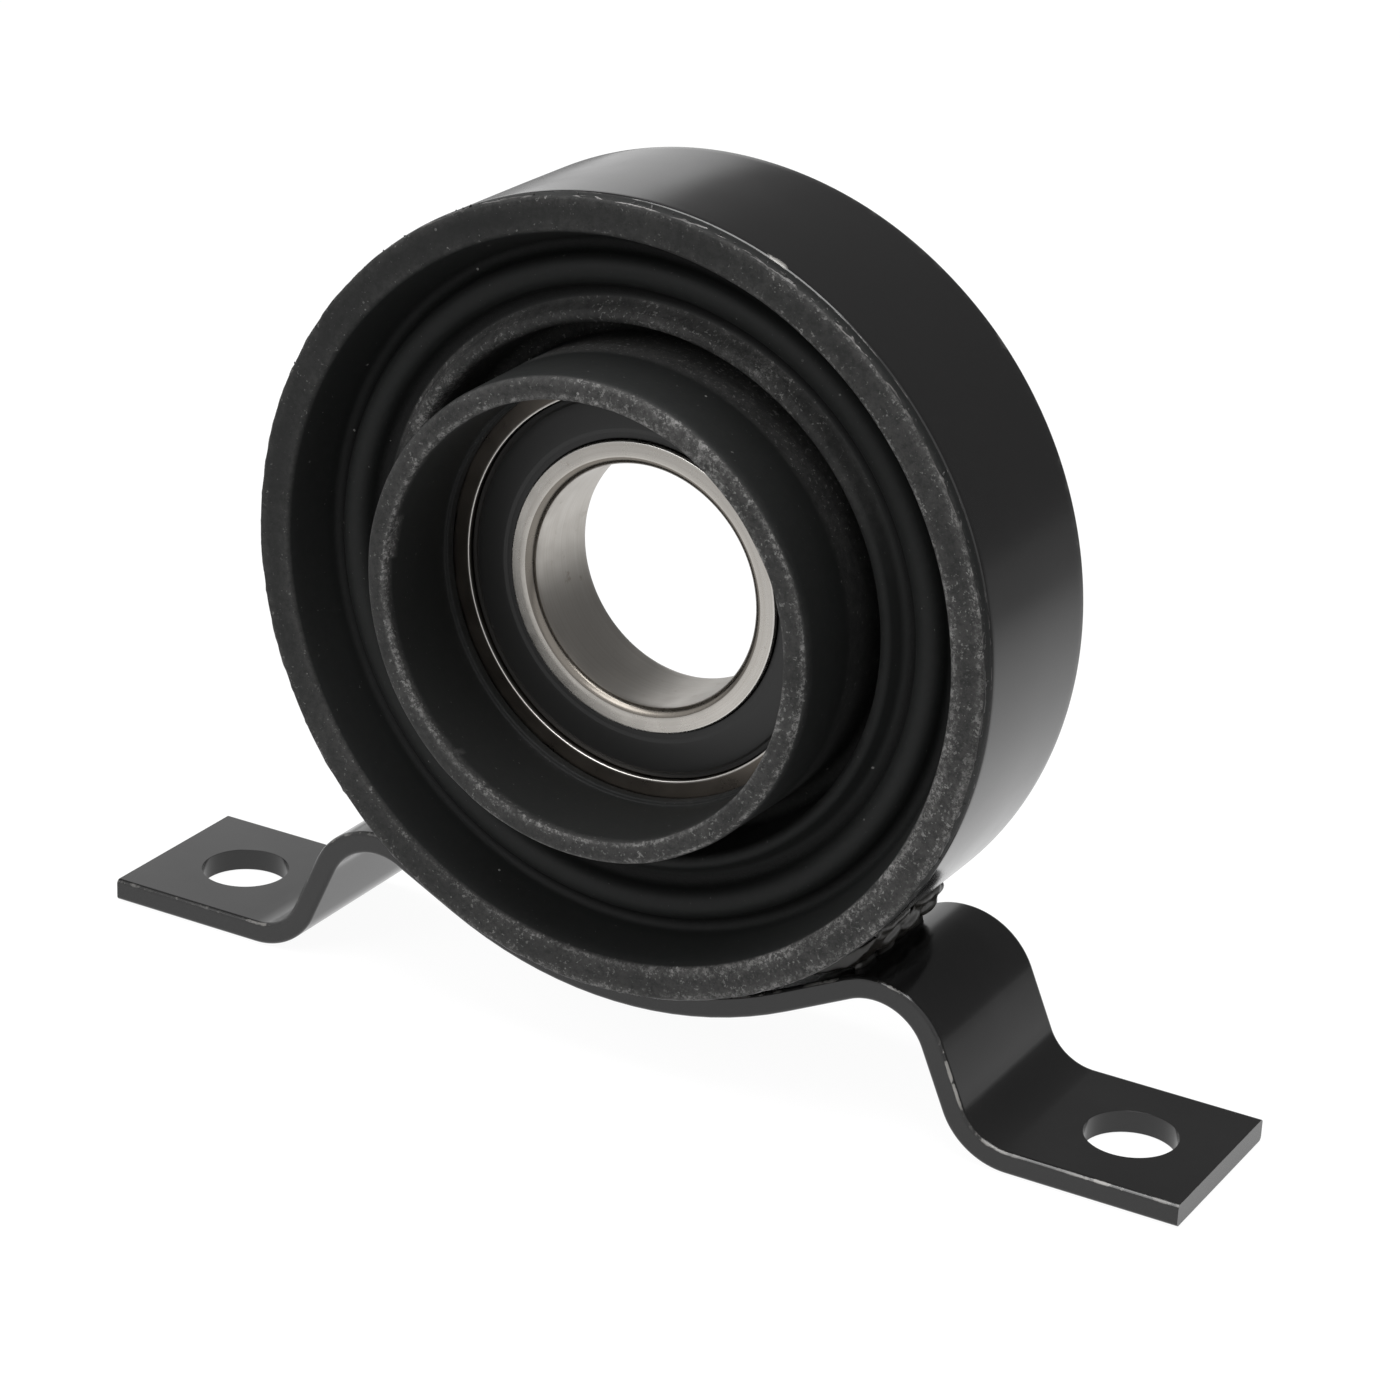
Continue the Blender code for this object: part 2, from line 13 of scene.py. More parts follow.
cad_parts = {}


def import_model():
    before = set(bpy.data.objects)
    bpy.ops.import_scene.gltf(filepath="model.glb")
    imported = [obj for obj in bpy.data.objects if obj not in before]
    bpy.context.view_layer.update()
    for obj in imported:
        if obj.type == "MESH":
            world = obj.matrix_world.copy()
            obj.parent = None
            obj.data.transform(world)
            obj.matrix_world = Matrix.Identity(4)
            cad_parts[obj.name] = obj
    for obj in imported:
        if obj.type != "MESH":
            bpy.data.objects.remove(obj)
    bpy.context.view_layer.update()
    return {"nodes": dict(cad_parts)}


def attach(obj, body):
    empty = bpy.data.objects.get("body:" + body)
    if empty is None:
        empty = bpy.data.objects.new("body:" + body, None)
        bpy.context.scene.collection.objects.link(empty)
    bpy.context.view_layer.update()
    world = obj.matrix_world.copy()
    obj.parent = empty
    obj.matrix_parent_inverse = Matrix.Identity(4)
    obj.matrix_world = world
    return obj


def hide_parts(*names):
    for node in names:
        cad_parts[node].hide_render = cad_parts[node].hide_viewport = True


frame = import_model()
MM = 0.001

# Places, in mm
AXIS_Z = 60.3
RIM_Y = -12.4
BEARING_DEPTH = 14.8
CAN_R = 49.0

# Photograph's camera, in mm and degrees
CAMERA_TARGET = Vector((13.20, -12.40, 52.24))
CAMERA_DISTANCE = 468.66
CAMERA_AZIMUTH = 28.793
CAMERA_ELEVATION = 22.837
CAMERA_ROLL = 2.646
CAMERA_LENS = 104.58


# Shaped meshes


def filleted(corners, fillet_step=14):
    """Rounds the corners of a closed outline of (r, depth, fillet, scuff). Gives (r, depth, scuff)."""
    outline = []
    for i, (r, depth, fillet, scuff_and_light) in enumerate(corners):
        corner = Vector((r, depth))
        if fillet <= 0:
            outline.append((r, depth, scuff_and_light))
            continue
        before = (Vector(corners[i - 1][:2]) - corner).normalized()
        after = (Vector(corners[(i + 1) % len(corners)][:2]) - corner).normalized()
        half = before.angle(after) / 2
        centre = corner + (before + after).normalized() * fillet / math.sin(half)
        start = corner + before * fillet / math.tan(half) - centre
        turn = start.angle_signed(corner + after * fillet / math.tan(half) - centre)
        steps = max(2, round(math.degrees(abs(turn)) / fillet_step))
        for k in range(steps + 1):
            point = centre + Matrix.Rotation(-turn * k / steps, 2) @ start
            outline.append((point.x, point.y, scuff_and_light))
    return outline


def resampled(outline, spacing):
    """Adds points so that no side of the outline is longer than spacing. Scuffs stay at their corners."""
    fine = []
    following = [*outline[1:], outline[0]]
    for (r, depth, scuff_and_light), (next_r, next_depth, _) in zip(outline, following, strict=True):
        parts = max(1, math.ceil(math.dist((r, depth), (next_r, next_depth)) / spacing))
        for k in range(parts):
            share = k / parts
            place = (r + (next_r - r) * share, depth + (next_depth - depth) * share)
            fine.append((*place, 0 if k else scuff_and_light))
    return fine


def new_tree(name, inputs):
    """A Geometry Nodes tree with a geometry input and output and the named number inputs."""
    tree = bpy.data.node_groups.new(name, "GeometryNodeTree")
    tree.interface.new_socket(name="Geometry", in_out="INPUT", socket_type="NodeSocketGeometry")
    for socket, kind, default in inputs:
        made = tree.interface.new_socket(name=socket, in_out="INPUT", socket_type=kind)
        if default is not None:
            made.default_value = default
    tree.interface.new_socket(name="Geometry", in_out="OUTPUT", socket_type="NodeSocketGeometry")
    return tree


class Wiring:
    """Adds nodes to a tree and links them by socket name or number."""

    def __init__(self, tree):
        self.tree = tree

    def node(self, kind, links=None, **settings):
        made = self.tree.nodes.new(kind)
        for name, value in settings.items():
            if hasattr(made, name):
                setattr(made, name, value)
            else:
                made.inputs[name.replace("_", " ").title()].default_value = value
        for socket, source in (links or {}).items():
            self.link(source, made.inputs[socket])
        return made

    def link(self, source, target):
        if isinstance(source, (int, float, tuple)):
            target.default_value = source
        else:
            self.tree.links.new(source, target)


def turned_tree():
    """Turns a profile, drawn as (radius - path radius, depth), round the shaft axis."""
    tree = new_tree(
        "turned_ring",
        [
            ("Path Radius", "NodeSocketFloat", 0.01),
            ("Steps", "NodeSocketInt", 360),
            ("Centre", "NodeSocketVector", None),
            ("Material", "NodeSocketMaterial", None),
        ],
    )
    wiring = Wiring(tree)
    given = wiring.node("NodeGroupInput").outputs
    profile = wiring.node("GeometryNodeMeshToCurve", {"Mesh": given["Geometry"]})
    path = wiring.node(
        "GeometryNodeCurvePrimitiveCircle",
        {"Resolution": given["Steps"], "Radius": given["Path Radius"]},
    )
    ring = wiring.node(
        "GeometryNodeCurveToMesh",
        {"Curve": path.outputs["Curve"], "Profile Curve": profile.outputs["Curve"]},
    )
    placed = wiring.node(
        "GeometryNodeTransform", {"Geometry": ring.outputs["Mesh"], "Translation": given["Centre"]}
    )
    placed.inputs["Rotation"].default_value = (math.pi / 2, 0, 0)
    finish_tree(wiring, placed.outputs["Geometry"], given)
    return tree


def strip_tree():
    """Sweeps a rectangle with rounded edges along a line in the XZ plane."""
    tree = new_tree(
        "swept_strip",
        [
            ("Width", "NodeSocketFloat", 0.025),
            ("Thickness", "NodeSocketFloat", 0.003),
            ("Edge Radius", "NodeSocketFloat", 0.0005),
            ("Material", "NodeSocketMaterial", None),
        ],
    )
    wiring = Wiring(tree)
    given = wiring.node("NodeGroupInput").outputs
    path = wiring.node("GeometryNodeMeshToCurve", {"Mesh": given["Geometry"]})
    section = wiring.node(
        "GeometryNodeCurvePrimitiveQuadrilateral",
        {"Width": given["Width"], "Height": given["Thickness"]},
    )
    rounded = wiring.node(
        "GeometryNodeFilletCurve",
        {"Curve": section.outputs["Curve"], "Radius": given["Edge Radius"]},
        mode="POLY",
    )
    rounded.inputs["Count"].default_value = 6
    upright = wiring.node("GeometryNodeSetCurveNormal", {"Curve": path.outputs["Curve"]}, mode="Z_UP")
    strip = wiring.node(
        "GeometryNodeCurveToMesh",
        {"Curve": upright.outputs["Curve"], "Profile Curve": rounded.outputs["Curve"]},
    )
    strip.inputs["Fill Caps"].default_value = True
    finish_tree(wiring, strip.outputs["Mesh"], given)
    return tree


def scatter_tree():
    """Puts a small lump on each point, turned and sized at random from a fixed seed."""
    tree = new_tree(
        "scattered_lumps",
        [
            ("Smallest", "NodeSocketFloat", 0.0001),
            ("Largest", "NodeSocketFloat", 0.0003),
            ("Length", "NodeSocketFloat", 2.0),
            ("Seed", "NodeSocketInt", 7),
            ("Material", "NodeSocketMaterial", None),
        ],
    )
    wiring = Wiring(tree)
    given = wiring.node("NodeGroupInput").outputs
    lump = wiring.node("GeometryNodeMeshIcoSphere", {"Radius": 1.0, "Subdivisions": 2})
    long = wiring.node("ShaderNodeCombineXYZ", {"X": given["Length"], "Y": 1.0, "Z": 0.7})
    shaped = wiring.node(
        "GeometryNodeTransform", {"Geometry": lump.outputs["Mesh"], "Scale": long.outputs[0]}
    )
    size = wiring.node("FunctionNodeRandomValue", data_type="FLOAT")
    wiring.link(given["Smallest"], size.inputs[2])
    wiring.link(given["Largest"], size.inputs[3])
    wiring.link(given["Seed"], size.inputs["Seed"])
    turn = wiring.node("FunctionNodeRandomValue", data_type="FLOAT_VECTOR")
    turn.inputs[1].default_value = (math.tau, math.tau, math.tau)
    wiring.link(given["Seed"], turn.inputs["Seed"])
    points = wiring.node("GeometryNodeMeshToPoints", {"Mesh": given["Geometry"]})
    placed = wiring.node(
        "GeometryNodeInstanceOnPoints",
        {
            "Points": points.outputs["Points"],
            "Instance": shaped.outputs["Geometry"],
            "Rotation": turn.outputs[0],
            "Scale": size.outputs[1],
        },
    )
    finish_tree(wiring, placed.outputs["Instances"], given)
    return tree


def finish_tree(wiring, geometry, given):
    """Makes the geometry real, gives it the material and joins it to the tree's output."""
    real = wiring.node("GeometryNodeRealizeInstances", {"Geometry": geometry})
    painted = wiring.node(
        "GeometryNodeSetMaterial", {"Geometry": real.outputs["Geometry"], "Material": given["Material"]}
    )
    out = wiring.node("NodeGroupOutput")
    wiring.link(painted.outputs["Geometry"], out.inputs["Geometry"])


def placed_mesh(name, bm):
    """A new object in the scene from a finished bmesh."""
    obj = bpy.data.objects.new(name, bpy.data.meshes.new(name))
    bm.to_mesh(obj.data)
    bm.free()
    bpy.context.scene.collection.objects.link(obj)
    return obj


def input_mesh(name, points, edges=(), scuffs_and_light=None):
    """Points and edges in mm for a Geometry Nodes tree, with a scuff number on each point if given."""
    mesh = bpy.data.meshes.new(name)
    mesh.from_pydata([tuple(c * MM for c in p) for p in points], edges, [])
    if scuffs_and_light:
        mesh.attributes.new("scuff_and_light", "FLOAT", "POINT").data.foreach_set("value", scuffs_and_light)
    return mesh


def grown(name, mesh, tree, inputs):
    """Runs a Geometry Nodes tree on the mesh and keeps the result as a plain object."""
    obj = bpy.data.objects.new(name, mesh)
    bpy.context.scene.collection.objects.link(obj)
    modifier = obj.modifiers.new("shape", "NODES")
    modifier.node_group = tree
    for socket in tree.interface.items_tree:
        if socket.in_out == "INPUT" and socket.name in inputs:
            modifier[socket.identifier] = inputs[socket.name]
    return baked(obj)


def baked(obj):
    """Applies the object's modifiers, turns its faces outwards and shades it smooth."""
    graph = bpy.context.evaluated_depsgraph_get()
    obj.data = bpy.data.meshes.new_from_object(obj.evaluated_get(graph))
    obj.modifiers.clear()
    obj.data.name = obj.name
    bm = bmesh.new()
    bm.from_mesh(obj.data)
    bmesh.ops.recalc_face_normals(bm, faces=bm.faces)
    bm.to_mesh(obj.data)
    bm.free()
    obj.data.shade_smooth()
    return obj


def turned(name, outline, material, steps=360):
    """A ring from a closed outline of (radius, depth, scuff), turned round the shaft axis."""
    path_r = 10
    points = [(r - path_r, depth, 0) for r, depth, _ in outline]
    edges = [(i, (i + 1) % len(points)) for i in range(len(points))]
    mesh = input_mesh(name, points, edges, [scuff_and_light for _, _, scuff_and_light in outline])
    centre = (0, RIM_Y * MM, AXIS_Z * MM)
    inputs = {"Path Radius": path_r * MM, "Steps": steps, "Centre": centre, "Material": material}
    return grown(name, mesh, TURNED, inputs)


def sharpened(obj, degrees=38):
    obj.data.set_sharp_from_angle(angle=math.radians(degrees))
    return obj


def polar(point):
    """Angle round the shaft axis from straight up, radius and depth, in mm."""
    x, y, z = point.x / MM, point.y / MM - RIM_Y, point.z / MM - AXIS_Z
    return math.atan2(x, z), math.hypot(x, z), y


def from_polar(angle, r, depth):
    return Vector((r * math.sin(angle), RIM_Y + depth, AXIS_Z + r * math.cos(angle))) * MM


def ring_noise(angle, r, depth, scale, seed):
    """Smooth noise from -1 to 1, without a seam round the ring. scale is the lump size in mm."""
    p = Vector((CAN_R * math.sin(angle) + seed * 91.7, depth + r, CAN_R * math.cos(angle)))
    return noise.noise(p / scale)


# Finishes

WHITE = (1, 1, 1, 1)
# Painted shade for the bottoms of the cushion's valleys.
PAINTED_VALLEY_SHADE = (0.0005, 0.0005, 0.0005, 1)
OIL_BROWN = (0.10, 0.085, 0.068, 1)


def effect_group(name, inputs, outputs):
    """An empty shader node group. Inputs are (name, socket kind, value), outputs (name, socket kind)."""
    group = bpy.data.node_groups.new(name, "ShaderNodeTree")
    for socket, kind, default in inputs:
        made = group.interface.new_socket(name=socket, in_out="INPUT", socket_type=kind)
        made.default_value = default
    for socket, kind in outputs:
        group.interface.new_socket(name=socket, in_out="OUTPUT", socket_type=kind)
    return group


class Shading(Wiring):
    """Short names for the shader nodes that the effect groups use."""

    def coords(self):
        return self.node("ShaderNodeTexCoord").outputs["Object"]

    def vector(self, operation, a, b):
        return self.node("ShaderNodeVectorMath", {0: a, 1: b}, operation=operation).outputs[0]

    def length(self, vector):
        return self.node("ShaderNodeVectorMath", {0: vector}, operation="LENGTH").outputs["Value"]

    def noise(self, vector, scale, detail=2.0, rough=0.5):
        made = self.node("ShaderNodeTexNoise", {"Vector": vector, "Scale": scale})
        made.inputs["Detail"].default_value = detail
        made.inputs["Roughness"].default_value = rough
        return made.outputs["Fac"]

    def cells(self, vector, scale):
        return self.node("ShaderNodeTexVoronoi", {"Vector": vector, "Scale": scale}).outputs["Distance"]

    def attribute(self, name):
        return self.node("ShaderNodeAttribute", attribute_name=name).outputs["Fac"]

    def ramp(self, value, low, high, start=0.0, end=1.0):
        made = self.node("ShaderNodeMapRange", {"Value": value})
        for socket, number in (("From Min", low), ("From Max", high), ("To Min", start), ("To Max", end)):
            self.link(number, made.inputs[socket])
        return made.outputs["Result"]

    def math(self, operation, a, b=0.0):
        return self.node("ShaderNodeMath", {0: a, 1: b}, operation=operation).outputs[0]

    def times(self, a, b):
        return self.math("MULTIPLY", a, b)

    def plus(self, a, b):
        return self.math("ADD", a, b)

    def lifted(self, value, extra, share):
        return self.plus(value, self.times(extra, share))

    def mix(self, factor, a, b):
        made = self.node("ShaderNodeMix", data_type="RGBA")
        self.link(factor, made.inputs[0])
        self.link(a, made.inputs[6])
        self.link(b, made.inputs[7])
        return made.outputs[2]


FINISH_OUTPUTS = [
    ("Color", "NodeSocketColor"),
    ("Roughness", "NodeSocketFloat"),
    ("Height", "NodeSocketFloat"),
]


def outputs_of(shading, colour, roughness, height):
    """Joins a finish to the outputs that all three effect groups share."""
    out = shading.node("NodeGroupOutput")
    shading.link(colour, out.inputs["Color"])
    shading.link(roughness, out.inputs["Roughness"])
    shading.link(height, out.inputs["Height"])


def rubber_group():
    """Moulded rubber: soft mottling, fine grain, and rub marks with painted light where the mesh says so.

    A value below 0 paints shade into the bottom of a valley.
    """
    group = effect_group(
        "rubber_finish",
        [
            ("Colour", "NodeSocketColor", (0.02, 0.02, 0.02, 1)),
            ("Scuff Colour", "NodeSocketColor", (0.09, 0.088, 0.085, 1)),
            ("Dust Colour", "NodeSocketColor", (0.40, 0.395, 0.385, 1)),
            ("Dust", "NodeSocketFloat", 0.5),
            ("Base Roughness", "NodeSocketFloat", 0.6),
            ("Scuff Roughness", "NodeSocketFloat", 0.85),
        ],
        FINISH_OUTPUTS,
    )
    s = Shading(group)
    given = s.node("NodeGroupInput").outputs
    at = s.coords()
    scuffed_and_lit = s.attribute("scuff_and_light")
    cloud = s.noise(at, 130.0, 4.0, 0.6)
    grain = s.noise(at, 2600.0, 3.0, 0.6)
    rubbed = s.ramp(s.noise(at, 1100.0, 6.0, 0.8), 0.40, 0.60)
    worn_and_lit = s.times(scuffed_and_lit, s.plus(0.45, s.times(rubbed, 0.75)))
    mottled = s.times(worn_and_lit, s.ramp(cloud, 0.3, 0.7, 0.6, 1.1))
    # This colour marks rubbed places and also carries the painted light and sheen from the mesh's
    # numbers.
    scuffs_and_light = s.mix(mottled, given["Colour"], given["Scuff Colour"])
    # Painted shade: near black at valley bottoms, where the value is below 0.
    base = s.mix(s.ramp(scuffed_and_lit, -1.0, 0.0, 0.85, 0.0), scuffs_and_light, PAINTED_VALLEY_SHADE)
    dust = s.times(rubber_dust(s, at, scuffed_and_lit, cloud), given["Dust"])
    colour = s.mix(dust, base, given["Dust Colour"])
    rough = s.ramp(worn_and_lit, 0.0, 1.0, given["Base Roughness"], given["Scuff Roughness"])
    height = s.plus(s.times(grain, 0.25), s.times(s.times(rubbed, scuffed_and_lit), 0.9))
    outputs_of(s, colour, rough, height)
    return group


def rubber_dust(s, at, scuffed_and_lit, cloud):
    """Where pale dust lies: specks and edge marks on rubbed places, bright marks and loose grains."""
    patches = s.ramp(s.noise(at, 260.0, 3.0, 0.7), 0.4, 0.6, 0.3, 1.0)
    specks = s.ramp(s.lifted(s.noise(at, 2000.0, 3.0, 0.7), scuffed_and_lit, 0.16), 0.70, 0.75, 0.0, 0.34)
    bright = s.ramp(s.lifted(s.noise(at, 760.0, 6.0, 0.9), scuffed_and_lit, 0.13), 0.77, 0.81)
    on_edge = s.ramp(scuffed_and_lit, 0.75, 1.0, 0.0, 0.5)
    edge = s.times(on_edge, s.ramp(s.noise(at, 1300.0, 5.0, 0.85), 0.5, 0.6))
    grains = s.math("LESS_THAN", s.cells(at, 330.0), 0.055)
    loose = s.times(grains, s.ramp(cloud, 0.5, 0.62, 0.0, 0.5))
    marks = s.times(s.math("MAXIMUM", specks, edge), patches)
    return s.math("MAXIMUM", marks, s.math("MAXIMUM", bright, loose))


def paint_group():
    """Semi-gloss black paint: orange peel, and bare metal on the edges that the mesh marks, partly wear
    and partly painted highlights and glints.
    """
    group = effect_group(
        "paint_finish",
        [
            ("Colour", "NodeSocketColor", (0.009, 0.0088, 0.0088, 1)),
            ("Wear And Highlight Colour", "NodeSocketColor", (0.24, 0.232, 0.22, 1)),
            ("Base Roughness", "NodeSocketFloat", 0.2),
            ("Peel", "NodeSocketFloat", 1.0),
        ],
        FINISH_OUTPUTS,
    )
    s = Shading(group)
    given = s.node("NodeGroupInput").outputs
    at = s.coords()
    worn_and_lit = s.attribute("scuff_and_light")
    broken = s.ramp(s.lifted(s.noise(at, 700.0, 3.0, 0.6), worn_and_lit, 0.25), 0.58, 0.68)
    # Bare metal here is partly real wear and partly painted highlights and glints on edges.
    bare = s.times(worn_and_lit, broken)
    cloud = s.noise(at, 70.0, 3.0, 0.55)
    colour = s.mix(bare, given["Colour"], given["Wear And Highlight Colour"])
    matt = s.ramp(cloud, 0.3, 0.7, -0.03, 0.05)
    rough = s.plus(s.plus(given["Base Roughness"], matt), s.times(bare, 0.15))
    peel = s.times(s.noise(at, 330.0, 1.0, 0.4), given["Peel"])
    waves = s.times(s.noise(at, 75.0, 1.0, 0.4), 5.0)
    outputs_of(s, colour, rough, s.plus(peel, waves))
    return group


def steel_group():
    """Ground steel: fine turning rings, a few stains, an oiled chamfer, a rougher bore, and a painted
    highlight in a lighter colour on marked edges.
    """
    group = effect_group(
        "steel_finish",
        [
            ("Colour", "NodeSocketColor", (0.5, 0.48, 0.45, 1)),
            ("Stain Colour", "NodeSocketColor", (0.22, 0.17, 0.12, 1)),
            ("Edge Highlight Colour", "NodeSocketColor", (0.62, 0.6, 0.57, 1)),
            ("Base Roughness", "NodeSocketFloat", 0.22),
            ("Rings", "NodeSocketFloat", 1.0),
        ],
        FINISH_OUTPUTS,
    )
    s = Shading(group)
    given = s.node("NodeGroupInput").outputs
    oil_start, oil_end, bore_limit = 15.06 * MM, 16.05 * MM, 15.1 * MM
    from_axis = s.vector("ADD", s.coords(), (0, 0, -AXIS_Z * MM))
    radius = s.length(s.vector("MULTIPLY", from_axis, (1.0, 0.0, 1.0)))
    depth = s.node("ShaderNodeSeparateXYZ", {0: from_axis}).outputs["Y"]
    across = s.node("ShaderNodeCombineXYZ", {0: s.times(radius, 9000.0), 1: s.times(depth, 5000.0)})
    drift = s.vector("MULTIPLY", from_axis, (40.0, 0.0, 40.0))
    lines = s.noise(s.vector("ADD", across.outputs[0], drift), 1.0, 3.0, 0.7)
    cloud = s.noise(from_axis, 300.0, 4.0, 0.6)
    stain = s.ramp(s.noise(from_axis, 520.0, 5.0, 0.65), 0.62, 0.72, 0.0, 0.55)
    tone = s.mix(s.ramp(lines, 0.35, 0.65, 0.0, 0.16), given["Colour"], given["Stain Colour"])
    stained = s.mix(s.times(stain, s.ramp(cloud, 0.45, 0.6)), tone, given["Stain Colour"])
    chamfer = s.times(
        s.math("GREATER_THAN", radius, oil_start), s.math("LESS_THAN", radius, oil_end)
    )
    oiled = s.mix(s.times(chamfer, 0.75), stained, OIL_BROWN)
    # Painted highlight: lighter steel on the edges the mesh marks.
    colour = s.mix(s.attribute("scuff_and_light"), oiled, given["Edge Highlight Colour"])
    in_bore = s.times(s.math("LESS_THAN", radius, bore_limit), 0.16)
    clouded = s.ramp(cloud, 0.3, 0.7, -0.04, 0.08)
    rough = s.plus(s.plus(given["Base Roughness"], in_bore), clouded)
    outputs_of(s, colour, rough, s.times(lines, given["Rings"]))
    return group


def finish_material(name, group, values, bump, distance, **shader_values):
    """A Principled material driven by one effect group. values are its inputs, distance is in mm."""
    material = bpy.data.materials.new(name)
    material.use_nodes = True
    wiring = Wiring(material.node_tree)
    shader = material.node_tree.nodes["Principled BSDF"]
    effect = wiring.node("ShaderNodeGroup", node_tree=group)
    for socket, value in values.items():
        effect.inputs[socket].default_value = value
    wiring.link(effect.outputs["Color"], shader.inputs["Base Color"])
    wiring.link(effect.outputs["Roughness"], shader.inputs["Roughness"])
    relief = wiring.node("ShaderNodeBump", {"Height": effect.outputs["Height"]})
    relief.inputs["Strength"].default_value = bump
    relief.inputs["Distance"].default_value = distance * MM
    wiring.link(relief.outputs["Normal"], shader.inputs["Normal"])
    for socket, value in shader_values.items():
        shader.inputs[socket.replace("_", " ")].default_value = value
    return material


# Steel can and strap


def can_shell(material):
    """The short steel tube, a little dented, with a short bare patch on its front edge that paints in a
    glint.
    """
    inner_r, front, rear = 46.8, 1.95, 26.35
    glint_end = front + 0.95
    corners = [
        (inner_r, front, 0, 0), (CAN_R, front, 0.45, 0), (CAN_R, glint_end, 0, 0),
        (CAN_R, rear, 0.6, 0.15), (inner_r, rear, 0.4, 0.1),
    ]
    outline = resampled(filleted(corners), 1.2)
    can = sharpened(turned("can_shell", outline, material, 420))
    scuffs_and_light = can.data.attributes["scuff_and_light"].data
    for v in can.data.vertices:
        angle, r, depth = polar(v.co)
        if r > CAN_R - 0.8:
            dent = 0.05 * ring_noise(angle, 0, depth, 16, 1) - 0.05
            v.co = from_polar(angle, r + dent, depth)
            # Painted glint: bare metal colour on a short stretch of the front edge.
            if depth < glint_end - 0.3 and 0.36 < angle < 0.43:
                scuffs_and_light[v.index].value = 1.0
    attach(can, "housing")
    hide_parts("outer_can")


def strap_line():
    """Centre line of the right half of the strap, as in the part's source, in (x, z)."""
    cradle_angle, slope = math.radians(26.3), math.radians(66)
    half_thickness, hump_r, bend_r = 1.45, 8.6, 8.0
    cradle_r = CAN_R + 1.5 + half_thickness
    outward = Vector((math.sin(cradle_angle), -math.cos(cradle_angle)))
    along = Vector((math.cos(cradle_angle), math.sin(cradle_angle)))
    hump = Vector((0, AXIS_Z)) + (cradle_r + hump_r) * outward + 9.2 * along
    top = hump + hump_r * Vector((math.sin(slope), math.cos(slope)))
    drop = top.y - (half_thickness + bend_r * (1 - math.cos(slope)))
    bend = Vector((top.x + drop / math.tan(slope) + bend_r * math.sin(slope), half_thickness + bend_r))
    line = []
    for centre, r, start, end in (
        (Vector((0, AXIS_Z)), -cradle_r, 0, -cradle_angle),
        (hump, hump_r, -cradle_angle, slope),
        (bend, -bend_r, slope, 0),
    ):
        steps = max(4, round(math.degrees(abs(end - start)) / 3))
        angles = [start + (end - start) * k / steps for k in range(steps + 1)]
        line += [centre + r * Vector((math.sin(a), math.cos(a))) for a in angles]
    line.append(Vector((bend.x + 22.0, half_thickness)))
    return line


def strap(material):
    """The bent strip with a bolt hole in each foot and bare metal along its front edge, partly wear and
    partly a painted highlight.
    """
    width, thickness, front = 25.0, 2.9, 5.6
    hole_r, hole_from_end, spacing = 5.7, 11.6, 1.6
    right = strap_line()
    line = [Vector((-p.x, p.y)) for p in reversed(right[1:])] + right
    fine = []
    for here, there in zip(line, line[1:], strict=False):
        parts = max(1, math.ceil((there - here).length / spacing))
        fine += [here.lerp(there, k / parts) for k in range(parts)]
    fine.append(line[-1])
    middle_y = RIM_Y + front + width / 2
    points = [(p.x, middle_y, p.y) for p in fine]
    mesh = input_mesh("strap", points, [(i, i + 1) for i in range(len(fine) - 1)])
    sizes = {"Width": width * MM, "Thickness": thickness * MM, "Edge Radius": 0.55 * MM}
    piece = grown("strap", mesh, STRIP, {**sizes, "Material": material})
    holes = bmesh.new()
    for side in (1, -1):
        hole = Vector((side * (right[-1].x - hole_from_end), middle_y, thickness / 2))
        bmesh.ops.create_cone(
            holes,
            cap_ends=True,
            segments=96,
            radius1=hole_r * MM,
            radius2=hole_r * MM,
            depth=12 * MM,
            matrix=Matrix.Translation(hole * MM),
        )
    drill = placed_mesh("strap_holes", holes)
    cut = piece.modifiers.new("holes", "BOOLEAN")
    cut.object, cut.solver = drill, "EXACT"
    edges = piece.modifiers.new("edges", "BEVEL")
    edges.width, edges.segments = 0.3 * MM, 3
    edges.limit_method, edges.angle_limit = "ANGLE", math.radians(50)
    piece = sharpened(baked(piece), 6)
    bpy.data.objects.remove(drill)
    scuffs_and_light = [strap_wear_and_highlight(v, middle_y - width / 2) for v in piece.data.vertices]
    piece.data.attributes.new("scuff_and_light", "FLOAT", "POINT").data.foreach_set("value", scuffs_and_light)
    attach(piece, "housing")
    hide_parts("mounting_strap")


def strap_wear_and_highlight(vertex, front_y):
    """Bare metal along the rounded upper front edge, most on the right half, which also paints the edge's
    thin highlight, and a trace of wear at the ends.
    """
    x, y, z = (c / MM for c in vertex.co)
    n = vertex.normal
    # Painted highlight and wear along the upper front edge.
    on_edge = 1.0 if -0.95 < n.y < -0.4 and y - front_y < 0.56 else 0.0
    upper = 1.0 if n.z > 0.1 else 0.0
    streak = 0.5 + 1.0 * noise.noise(Vector((x / 5, 3.1, z / 5)))
    place = 1.0 if x > 36 else 0.35
    at_end = 0.35 if abs(x) > 75.0 and 0.3 < n.z < 0.95 else 0.0
    return min(1.0, max(on_edge * upper * max(0.0, streak) * place * 1.4, at_end))


def wander(x, y):
    """Three smooth numbers from -1 to 1 for a place, the same in every run."""
    return Vector([noise.noise(Vector((x, y, 1.9 + 17.3 * axis))) for axis in range(3)])


